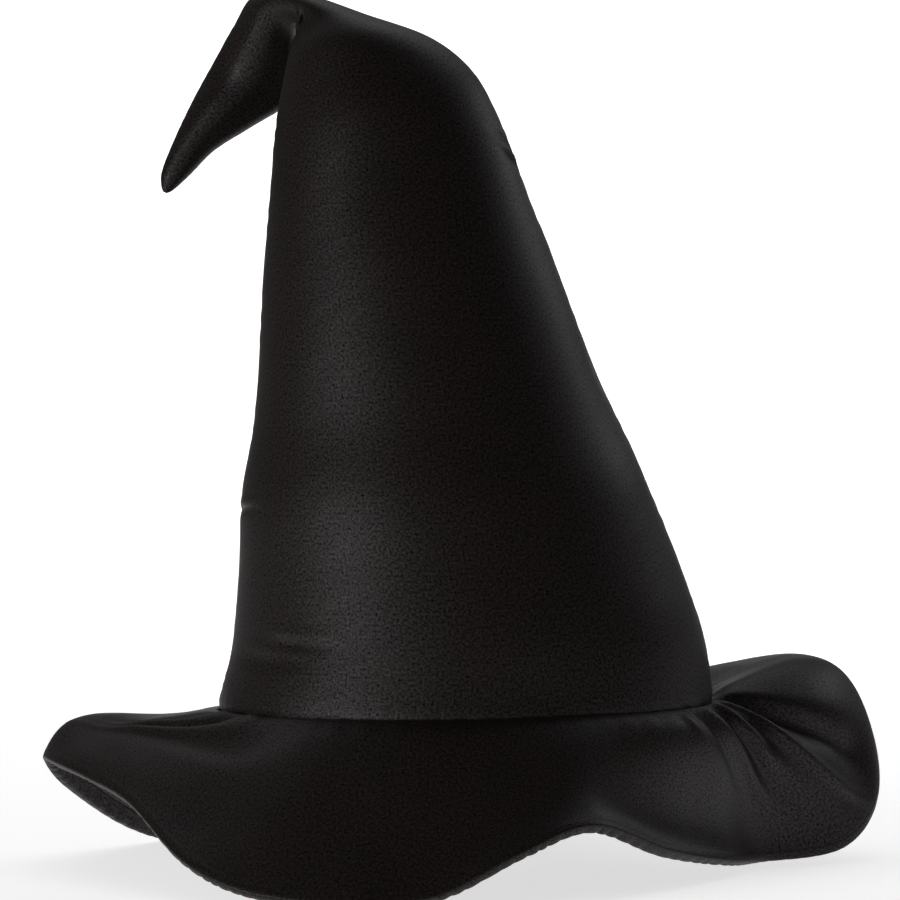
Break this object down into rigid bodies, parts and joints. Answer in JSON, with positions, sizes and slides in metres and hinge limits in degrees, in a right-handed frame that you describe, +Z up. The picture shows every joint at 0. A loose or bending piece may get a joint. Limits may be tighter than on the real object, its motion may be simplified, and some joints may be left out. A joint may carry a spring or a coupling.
{
  "type": "witch hat",
  "caption": "Pointed cloth hat with a drooping folded tip and a wide wired brim bent into lobes, sewn round a head opening for wear.",
  "frame": {"origin": "centre of the head opening, in the plane of the headline seam", "axes": "+Z up along the head opening's axis, -Y towards the front, +X towards the wearer's left; the tip folds over towards -X"},
  "size_m": [0.3655, 0.3114, 0.376],
  "materials": {
    "outer_satin": "soft satin",
    "under_satin": "satin",
    "foam": "open-cell foam, matte",
    "lining": "plain woven, matte",
    "thread": "spun polyester",
    "wire": "drawn",
    "ribbon": "ribbed grosgrain",
    "label": "printed-label satin, blank"
  },
  "bodies": {
    "crown": {"crown_front_panel": "outer_satin", "crown_back_panel": "outer_satin", "crown_front_foam": "foam", "crown_back_foam": "foam", "crown_front_lining": "lining", "crown_back_lining": "lining", "side_seam_thread": "thread", "brim_top_satin": "outer_satin", "brim_foam": "foam", "brim_under_satin": "under_satin", "brim_edge_roll": "outer_satin", "brim_edge_stitching": "thread", "brim_wire": "wire", "brim_wire_joiner": "wire", "sweatband": "ribbon", "headline_tape": "lining", "headline_stitching": "thread", "care_label": "label"},
    "tip": {"tip_front_panel": "outer_satin", "tip_back_panel": "outer_satin", "tip_filling": "foam"}
  },
  "joints": [
    {"name": "tip_fold", "type": "hinge", "parent": "crown", "child": "tip", "pos_m": [-0.069, 0.019, 0.3075], "axis": [0, 1, 0], "range_deg": [0, 80]}
  ]
}
